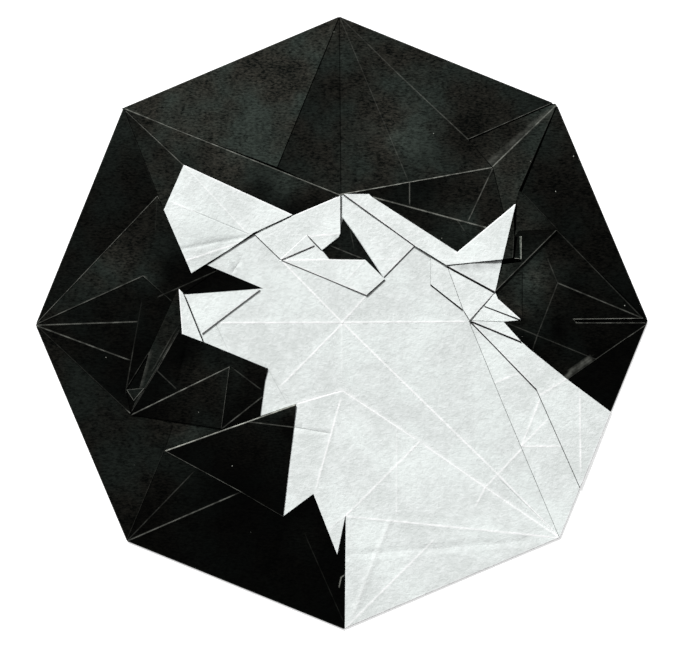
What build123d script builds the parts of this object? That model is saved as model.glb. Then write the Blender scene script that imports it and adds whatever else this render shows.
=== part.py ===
"""Origami wolf head: one two-colour square folded flat into an octagon.

The sheet is one solid. A base octagon carries flaps, and every flap is a thin plate on its own layer,
turned over along at least one pressed fold. At a pressed fold the layers touch, so the fold is solid down to
the base, with a rounded outside. Away from its folds a flap lies free, with air under it.
Frame: centre of the octagon at the origin, picture up (+Z), corner "n" towards +Y, back face on z = 0.
"""

import os
from dataclasses import dataclass, field
from math import cos, hypot, radians, sin

from build123d import *

# Driving dimensions, millimetres
CORNER_RADIUS = 61.0
PAPER = 0.14
AIR = 0.08
FOLD_RADIUS = 0.12
FOLD_LAND = 1.2
EDGE_PLAY = 0.06
CREASE_WIDTH = 0.32
CREASE_DEPTH = 0.05
CREASE_SETBACK = 0.9

# Where the octagon lies in the picture, in pixels and degrees
SEEN_CENTRE_X = 341.75
SEEN_CENTRE_Y = 322.9
SEEN_RADIUS = 306.0
SEEN_TURN = 0.43

# Corners of the octagon, by their direction in degrees
CORNERS = {"e": 0, "ne": 45, "n": 90, "nw": 135, "w": 180, "sw": 225, "s": 270, "se": 315}

# Points on the rim: first corner, second corner, share of the way between them
RIM_POINTS = {
    "back_top": ("e", "se", 0.42),
    "back_low": ("e", "se", 0.757),
}

# Fold points, read off the picture in pixels
SEEN = {
    "centre": (342.0, 322.0),
    # black flaps above the head
    "apex": (341.0, 194.0),
    "temple": (278.0, 166.0),
    "crown": (372.0, 197.0),
    "crown_crease": (408.0, 180.5),
    "knot": (492.5, 167.0),
    "knot_in": (468.0, 140.0),
    "wing_low": (502.0, 207.0),
    "wing_flank": (520.0, 191.5),
    "flank": (522.5, 192.5),
    "rein": (485.5, 227.5),
    "rein_mid": (468.0, 221.0),
    # black flaps behind the neck
    "post": (556.5, 229.5),
    "tab_in_top": (513.0, 237.0),
    "tab_out_top": (520.5, 236.0),
    "tab_out_low": (520.6, 259.0),
    "tab_in_low": (511.0, 259.5),
    "elbow": (558.0, 284.0),
    "elbow_low": (537.5, 334.3),
    "slit_upper": (573.5, 319.5),
    "slit_lower": (573.5, 322.4),
    "slit_end_upper": (643.5, 318.7),
    "slit_end_lower": (645.0, 322.4),
    "pleat": (596.0, 359.5),
    "pleat_end": (565.0, 377.5),
    # black flaps before the face
    "hollow": (163.0, 207.5),
    "spur": (157.6, 197.0),
    "knee": (143.5, 276.5),
    "knee_low": (171.5, 301.5),
    "fan_top": (142.0, 301.0),
    "fan_upper": (137.0, 321.7),
    "fan_lower": (129.4, 360.0),
    "fan_end": (126.4, 389.3),
    "gape": (178.5, 288.0),
    "gape_upper": (216.5, 271.0),
    "strip_left": (149.0, 353.0),
    "strip_notch": (139.0, 390.0),
    "strip_low": (132.0, 410.0),
    "strip_mid": (156.5, 369.8),
    "strip_right": (178.0, 332.0),
    "strip_crease": (175.8, 388.0),
    "hinge": (131.0, 414.5),
    "jowl_top": (229.2, 366.0),
    "jowl_low": (221.0, 428.5),
    "jowl_crease_upper": (261.5, 388.0),
    "jowl_crease_lower": (262.0, 397.0),
    "tick_top": (173.5, 424.5),
    "throat_left": (162.5, 451.3),
    "throat_mid": (248.0, 421.5),
    "throat_right": (296.0, 404.0),
    "bib_top": (293.7, 427.0),
    "bib_low": (238.0, 493.0),
    "low_crease": (195.5, 470.0),
    "foot_crease_top": (305.0, 534.0),
    "foot_crease_low": (343.0, 620.0),
    # snout
    "snout_top": (184.0, 165.0),
    "brow_left": (293.0, 215.0),
    "snout_lip_upper": (254.0, 233.0),
    "snout_lip_lower": (230.0, 249.5),
    "snout_low": (191.5, 273.5),
    "snout_left": (164.0, 210.0),
    "snout_pinch": (248.0, 234.0),
    "snout_edge_upper": (171.0, 202.0),
    "snout_edge_mid": (182.0, 246.0),
    "snout_edge_lower": (188.0, 260.0),
    # muzzle, eye and lids
    "lip": (256.0, 236.0),
    "roof": (209.0, 266.0),
    "mouth": (262.0, 288.2),
    "brow_mid": (298.0, 213.7),
    "brow_low": (338.5, 196.5),
    "nose_top": (340.5, 195.0),
    "nose_low": (340.5, 233.0),
    "eye_inner": (339.0, 237.0),
    "eye_fold": (322.0, 250.5),
    "muzzle_notch": (307.5, 235.0),
    "lid_left": (281.0, 260.0),
    "lid_corner": (315.0, 245.5),
    "lid_mid": (329.0, 259.2),
    "lid_right": (365.0, 259.8),
    "eye_outer": (384.0, 278.0),
    "lid_low": (366.5, 295.3),
    "lid_crease": (346.0, 281.0),
    "eye_top": (342.3, 217.0),
    "eye_side": (355.0, 234.5),
    "cheek_top": (342.5, 196.5),
    "cheek_right": (414.6, 247.2),
    # brow and ear
    "brow_start": (343.0, 194.0),
    "brow_end": (369.0, 194.0),
    "ear_root": (457.4, 252.0),
    "ear_tip": (515.7, 203.5),
    "ear_out": (502.1, 260.5),
    "ear_base": (495.0, 292.0),
    "ear_in": (447.0, 266.0),
    "ear_tuck": (497.0, 226.0),
    # ruff, spikes and neck
    "ruff_top": (431.0, 257.5),
    "ruff_left": (431.0, 284.5),
    "ruff_low": (463.0, 310.0),
    "hub": (469.5, 320.5),
    "spike_root": (498.0, 299.0),
    "spike_tip": (521.5, 320.2),
    "spike_notch": (503.5, 321.8),
    "spike_crease": (484.0, 306.0),
    "second_tip": (521.5, 341.8),
    "mane": (530.0, 349.3),
    "neck_knee": (540.8, 394.0),
    "neck_left": (495.0, 382.5),
    "neck_low": (521.0, 446.0),
    "neck_star_upper": (540.0, 398.0),
    "neck_star_mid": (548.0, 418.5),
    "neck_star_right": (561.0, 446.0),
    "back_crease_top": (579.3, 394.0),
    "back_crease_low": (580.2, 472.0),
    # jaw and chest
    "jaw_tip": (180.5, 290.5),
    "jaw_top": (184.8, 294.3),
    "jaw_end": (257.6, 289.5),
    "jaw_fold": (202.0, 334.0),
    "jaw_in": (204.2, 342.4),
    "jaw_low": (182.3, 334.0),
    "chin": (268.0, 368.7),
    "throat_upper": (265.0, 380.0),
    "throat": (260.0, 416.3),
    "chest_left": (297.5, 403.0),
    "chest_top": (342.5, 390.0),
    "chest_right": (420.0, 441.3),
    "chest_low": (484.0, 484.5),
    "fur_first": (283.0, 516.5),
    "fur_notch": (313.3, 494.0),
    "fur_second": (337.3, 555.0),
    "fur_root": (345.5, 516.0),
    "star_left": (218.0, 322.8),
    "star_low": (279.0, 386.0),
    "star_back": (495.0, 471.5),
    "chest_crease_top": (396.8, 432.0),
    "chest_crease_low": (396.5, 512.0),
    "fur_crease_top": (338.8, 400.0),
    "fur_crease_low": (315.5, 486.0),
    "hem_crease": (433.0, 540.5),
}


@dataclass(frozen=True)
class Flap:
    """One plate of the folded sheet.

    Attributes:
        outline: Names of its corner points, in order round the plate.
        layer: Layer it lies on along its folds, counted from the base.
        folds: Pairs of neighbouring outline points between which the sheet turns over.
        creases: Pairs of points between which an opened fold has left a line.
        tip: A point away from the first fold, where the plate lies on another layer.
        tip_layer: The layer at that point.
    """

    outline: str
    layer: float
    folds: tuple
    creases: tuple = field(default=())
    tip: str = ""
    tip_layer: float = 0.0


FLAPS = {
    "crown_flap": Flap("crown knot wing_low ear_tuck ear_root", 1, ("crown ear_root",),
                       ("crown rein", "knot rein_mid")),
    "top_right_flap": Flap("n ne knot_in knot apex temple", 2, ("n ne", "knot apex"),
                           ("n apex", "n crown_crease", "n knot")),
    "top_left_flap": Flap("nw n temple", 3, ("nw n",)),
    "brow_strip": Flap("nw apex brow_low brow_mid brow_left snout_top", 4, ("nw apex",)),
    "wing_flap": Flap("ne wing_flank ear_tip wing_low knot knot_in", 3, ("ne wing_flank",), ("ne knot",)),
    "right_upper_flap": Flap("ne e post ear_base ear_out ear_tip flank", 3, ("ne e", "post ear_base"),
                             ("flank post",)),
    "ear_tab": Flap("tab_in_top tab_out_top tab_out_low tab_in_low", 4, ("tab_out_top tab_out_low",)),
    "right_middle_flap": Flap("post slit_end_upper slit_upper slit_lower slit_end_lower pleat pleat_end mane "
                              "second_tip spike_notch spike_tip spike_root ear_base", 2,
                              ("post slit_end_upper", "slit_end_lower pleat"),
                              ("elbow slit_end_upper", "elbow elbow_low", "pleat spike_notch")),
    "right_lower_flap": Flap("e back_top pleat_end pleat", 1, ("e back_top",)),
    "temple_flap": Flap("nw snout_top snout_left hollow", 2, ("nw snout_top",)),
    "left_upper_flap": Flap("nw hollow spur w", 3, ("w nw",)),
    "left_cheek_flap": Flap("w spur hollow snout_left snout_low roof gape_upper knee_low knee", 2, ("knee w",)),
    "left_middle_flap": Flap("w knee gape_upper mouth jaw_top gape strip_left fan_end hinge", 1, ("hinge w",),
                             ("w fan_upper", "w fan_lower", "fan_top gape", "fan_top fan_end")),
    "jaw_strip": Flap("gape jaw_tip jaw_low strip_right strip_mid strip_low strip_notch strip_left", 2,
                      ("strip_left gape",)),
    "jaw_flap": Flap("strip_right jaw_low chin throat_upper throat throat_mid jowl_low hinge strip_low strip_mid",
                     2, ("strip_mid strip_right",),
                     ("strip_mid strip_crease", "jowl_top jowl_crease_upper", "jowl_low jowl_crease_lower")),
    "jowl_flap": Flap("hinge jowl_top jowl_low", 3, ("hinge jowl_top",)),
    "left_lower_flap": Flap("w hinge jowl_low throat_mid throat_left sw", 1, ("sw w",),
                            ("tick_top throat_left",)),
    "throat_flap": Flap("throat_left throat_right bib_top fur_first bib_low", 4, ("throat_left throat_right",),
                        ("throat_mid bib_top",)),
    "bottom_left_flap": Flap("sw throat_left bib_low fur_first fur_notch fur_second fur_root s", 2, ("s sw",),
                             ("sw bib_low", "sw low_crease", "foot_crease_top foot_crease_low")),
    "snout": Flap("snout_top brow_left snout_lip_upper snout_lip_lower snout_low snout_left", 5,
                  ("snout_top brow_left",),
                  ("snout_top snout_pinch", "snout_edge_upper snout_pinch", "snout_edge_mid snout_pinch",
                   "snout_edge_lower snout_lip_lower"), "snout_low", 3),
    "muzzle": Flap("brow_mid brow_low nose_top nose_low eye_inner eye_fold muzzle_notch lid_left lip", 5,
                   ("brow_mid brow_low",), ("muzzle_notch nose_low",), "lid_left", 2.6),
    "upper_lid": Flap("lid_left lid_corner eye_fold lid_mid", 1, ("lid_corner lid_left",)),
    "lower_lid": Flap("lid_left lid_mid lid_right eye_outer lid_low", 2, ("lid_low lid_left",),
                      ("lid_right lid_crease",)),
    "cheek_flap": Flap("cheek_top cheek_right eye_outer eye_side eye_top", 2, ("cheek_right eye_outer",)),
    "brow_and_ear": Flap("brow_start brow_end crown ear_root ear_tip ear_out ear_base ear_in cheek_right", 5,
                         ("cheek_right brow_start", "ear_root ear_tip"), ("ear_in ear_out",)),
    "ruff": Flap("ruff_top ear_in ear_base hub ruff_low ruff_left", 4, ("ear_base hub",),
                 ("ear_in ruff_low",), "ruff_top", 1),
    "first_spike": Flap("ear_base spike_root spike_tip spike_notch hub", 3, ("spike_root spike_tip",),
                        ("spike_crease spike_tip",)),
    "second_spike": Flap("hub spike_notch second_tip", 4, ("second_tip hub",)),
    "back_flap": Flap("hub second_tip mane pleat_end back_top back_low neck_knee", 3,
                      ("back_top back_low", "neck_knee hub"),
                      ("neck_knee pleat_end", "back_crease_top back_crease_low")),
    "neck_strip": Flap("hub neck_knee back_low se neck_low neck_left", 1, ("back_low se",),
                       ("neck_low neck_star_upper", "neck_low neck_star_mid", "neck_low neck_star_right")),
    "jaw_point": Flap("jaw_top jaw_end jaw_fold", 4, ("jaw_end jaw_fold",)),
    "jaw_front": Flap("jaw_tip jaw_top jaw_in jaw_low", 3, ("jaw_low jaw_tip",)),
    "chest_flap": Flap("chest_left chest_top chest_right chest_low se s fur_root fur_second fur_notch fur_first "
                       "bib_top", 1, ("chest_left chest_top", "se s"),
                       ("fur_root se", "s hem_crease", "chest_right fur_root",
                        "chest_crease_top chest_crease_low", "fur_crease_top fur_crease_low")),
}

BASE_CREASES = (
    "centre lid_low",
    "centre lid_left",
    "centre star_left",
    "centre hub",
    "centre star_low",
    "centre star_back",
)

LAYER_PITCH = PAPER + AIR
STACK_HEIGHT = max(flap.layer for flap in FLAPS.values()) * LAYER_PITCH + PAPER


def place(name):
    """Returns a named point in millimetres from the centre of the octagon."""
    if name in CORNERS:
        angle = radians(CORNERS[name])
        return CORNER_RADIUS * cos(angle), CORNER_RADIUS * sin(angle)
    if name in RIM_POINTS:
        first, second, share = RIM_POINTS[name]
        (ax, ay), (bx, by) = place(first), place(second)
        return ax + (bx - ax) * share, ay + (by - ay) * share
    seen_x, seen_y = SEEN[name]
    scale = CORNER_RADIUS / SEEN_RADIUS
    across = (seen_x - SEEN_CENTRE_X) * scale
    up = (SEEN_CENTRE_Y - seen_y) * scale
    turn = radians(-SEEN_TURN)
    return across * cos(turn) - up * sin(turn), across * sin(turn) + up * cos(turn)


def ordered(names):
    """Returns point names in anticlockwise order, as seen from above."""
    points = [place(name) for name in names]
    area = sum(ax * by - bx * ay for (ax, ay), (bx, by) in zip(points, points[1:] + points[:1]))
    return list(names) if area > 0 else list(reversed(names))


def edge_frame(first, second):
    """Returns the direction of an edge and the direction to its left, both of length one."""
    (ax, ay), (bx, by) = place(first), place(second)
    length = hypot(bx - ax, by - ay)
    along = ((bx - ax) / length, (by - ay) / length)
    return along, (-along[1], along[0]), length


def drawn_in(names, fold_pairs, fold_shift):
    """Returns the outline with its folded edges moved in by a given amount and its free edges by the play."""
    count = len(names)
    lines = []
    for index, name in enumerate(names):
        following = names[(index + 1) % count]
        along, inward, _ = edge_frame(name, following)
        shift = fold_shift if frozenset((name, following)) in fold_pairs else EDGE_PLAY
        x, y = place(name)
        lines.append((x + inward[0] * shift, y + inward[1] * shift, along))
    corners = []
    for index in range(count):
        ax, ay, a_dir = lines[index - 1]
        bx, by, b_dir = lines[index]
        cross = a_dir[0] * b_dir[1] - a_dir[1] * b_dir[0]
        reach = ((bx - ax) * b_dir[1] - (by - ay) * b_dir[0]) / cross
        corners.append((ax + a_dir[0] * reach, ay + a_dir[1] * reach))
    return corners


def slope_of(flap, names):
    """Returns the rise of a flap's plate for each millimetre away from its first fold."""
    if not flap.tip:
        return 0.0
    return (flap.tip_layer - flap.layer) * LAYER_PITCH / distance_in(flap, names, place(flap.tip))


def distance_in(flap, names, point):
    """Returns how far a point lies inside the line of a flap's first fold."""
    first, second = flap.folds[0].split()
    if (names.index(first) + 1) % len(names) != names.index(second):
        first, second = second, first
    _, inward, _ = edge_frame(first, second)
    x, y = place(first)
    return (point[0] - x) * inward[0] + (point[1] - y) * inward[1]


def fold_bead(first, second, base_height, top_height, slope, on_rim):
    """Returns the pressed fold along one edge, with its rounded outside on that edge."""
    along, inward, length = edge_frame(first, second)
    x, y = place(first)
    section = Plane(origin=(x, y, 0), x_dir=(*inward, 0), z_dir=(*along, 0))
    crest = top_height + slope * FOLD_RADIUS
    outline = [
        Line((FOLD_LAND, base_height), (FOLD_LAND, top_height + slope * FOLD_LAND)),
        Line((FOLD_LAND, top_height + slope * FOLD_LAND), (FOLD_RADIUS, crest)),
        RadiusArc((FOLD_RADIUS, crest), (0, crest - FOLD_RADIUS), -FOLD_RADIUS),
    ]
    if on_rim:
        outline.append(Line((0, crest - FOLD_RADIUS), (0, base_height + FOLD_RADIUS)))
        outline.append(RadiusArc((0, base_height + FOLD_RADIUS), (FOLD_RADIUS, base_height), -FOLD_RADIUS))
        outline.append(Line((FOLD_RADIUS, base_height), (FOLD_LAND, base_height)))
    else:
        outline.append(Line((0, crest - FOLD_RADIUS), (0, base_height)))
        outline.append(Line((0, base_height), (FOLD_LAND, base_height)))
    return extrude(section * make_face(outline), amount=length)


def crease_cut(first, second, top_at):
    """Returns the wedge that a crease line leaves in the top of a plate."""
    start, finish = (Vector(*place(name), top_at(place(name))) for name in (first, second))
    along = (finish - start).normalized()
    aside = start + Vector(-along.Y, along.X, 0)
    across = (start - Vector(aside.X, aside.Y, top_at((aside.X, aside.Y)))).normalized()
    section = Plane(origin=start + along * CREASE_SETBACK, x_dir=across, z_dir=along)
    groove = Polygon((-CREASE_WIDTH, CREASE_DEPTH), (0, -CREASE_DEPTH), (CREASE_WIDTH, CREASE_DEPTH), align=None)
    return extrude(section * groove, amount=(finish - start).length - 2 * CREASE_SETBACK)


def build_flap(flap):
    """Returns one flap as a plate with its creases and pressed folds."""
    names = ordered(flap.outline.split())
    fold_pairs = {frozenset(fold.split()) for fold in flap.folds}
    slope = slope_of(flap, names)
    floor = flap.layer * LAYER_PITCH

    def top_at(point):
        return floor + PAPER + slope * distance_in(flap, names, point)

    corners = drawn_in(names, fold_pairs, FOLD_RADIUS)
    sheet = Face(Wire.make_polygon([(x, y, top_at((x, y)) - PAPER) for x, y in corners]))
    plate = extrude(sheet, amount=PAPER, dir=(0, 0, 1))
    for crease in flap.creases:
        first, second = crease.split()
        plate -= crease_cut(first, second, top_at)
    bounds = Face(Wire.make_polygon([(x, y, 0) for x, y in drawn_in(names, fold_pairs, 0.0)]))
    prism = extrude(bounds, amount=STACK_HEIGHT + PAPER, dir=(0, 0, 1))
    beads = []
    rim = set(CORNERS) | set(RIM_POINTS)
    for index, name in enumerate(names):
        following = names[(index + 1) % len(names)]
        if frozenset((name, following)) not in fold_pairs:
            continue
        on_rim = name in rim and following in rim
        low = 0.0 if on_rim else PAPER / 2
        beads.append(fold_bead(name, following, low, floor + PAPER, slope, on_rim) & prism)
    return [plate, *beads]


def build_base():
    """Returns the base octagon with the crease star of the face."""
    names = ordered(list(CORNERS))
    pairs = {frozenset((name, names[(index + 1) % len(names)])) for index, name in enumerate(names)}
    sheet = Face(Wire.make_polygon([(x, y, 0) for x, y in drawn_in(names, pairs, FOLD_RADIUS)]))
    plate = extrude(sheet, amount=PAPER, dir=(0, 0, 1))
    for crease in BASE_CREASES:
        first, second = crease.split()
        plate -= crease_cut(first, second, lambda point: PAPER)
    return plate


def build_sheet():
    """Returns the whole folded sheet as one solid."""
    pieces = [piece for flap in FLAPS.values() for piece in build_flap(flap)]
    return build_base() + pieces


os.makedirs("parts", exist_ok=True)
folded_sheet = build_sheet()
export_step(folded_sheet, "parts/folded_sheet.step")
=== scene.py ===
"""Dresses the origami wolf head: one two-colour sheet folded flat into an octagon.

Every flap is cut from a flat polygon, scored along its creases, bent over its folds, given the thickness of
the paper and joined into one sheet. All lengths are in metres unless a name or its description
says otherwise.
"""

import logging
import math
from dataclasses import dataclass, field
from enum import Enum
from typing import Optional

import bmesh
import bpy
import numpy as np
from bpy.types import Material, Node, NodeSocket, Object
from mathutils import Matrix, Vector, noise

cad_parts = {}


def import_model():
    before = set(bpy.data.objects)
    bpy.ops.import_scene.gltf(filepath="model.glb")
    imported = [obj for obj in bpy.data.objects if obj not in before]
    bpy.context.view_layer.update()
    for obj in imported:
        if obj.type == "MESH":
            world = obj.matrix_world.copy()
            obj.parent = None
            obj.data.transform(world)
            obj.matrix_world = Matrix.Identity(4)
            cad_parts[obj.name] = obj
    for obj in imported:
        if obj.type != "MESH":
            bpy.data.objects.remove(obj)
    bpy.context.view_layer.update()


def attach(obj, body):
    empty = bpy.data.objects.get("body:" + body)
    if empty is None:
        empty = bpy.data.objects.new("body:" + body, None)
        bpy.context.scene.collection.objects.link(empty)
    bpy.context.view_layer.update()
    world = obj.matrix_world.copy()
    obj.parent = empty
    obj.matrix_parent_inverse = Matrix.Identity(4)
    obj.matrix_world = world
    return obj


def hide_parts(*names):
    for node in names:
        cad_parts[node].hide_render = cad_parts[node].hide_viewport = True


LOG = logging.getLogger("wolf_head")

MM = 0.001
NODE = "folded_sheet"

# Where the octagon lies in the picture, in pixels and degrees
PICTURE_WIDTH = 688
PICTURE_HEIGHT = 650
SEEN_CENTRE = (341.75, 322.9)
SEEN_RADIUS = 306.0
SEEN_TURN = 0.43
CORNER_RADIUS = 61.0 * MM

# Corners of the octagon, by their direction in degrees
CORNERS = {"e": 0, "ne": 45, "n": 90, "nw": 135, "w": 180, "sw": 225, "s": 270, "se": 315}
# Points on the rim: first corner, second corner, share of the way between them
RIM_POINTS = {
    "back_top": ("e", "se", 0.42),
    "back_low": ("e", "se", 0.757),
    "knot_rim": ("ne", "n", 0.018),
    "post_rim": ("e", "ne", 0.01),
}

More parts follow.
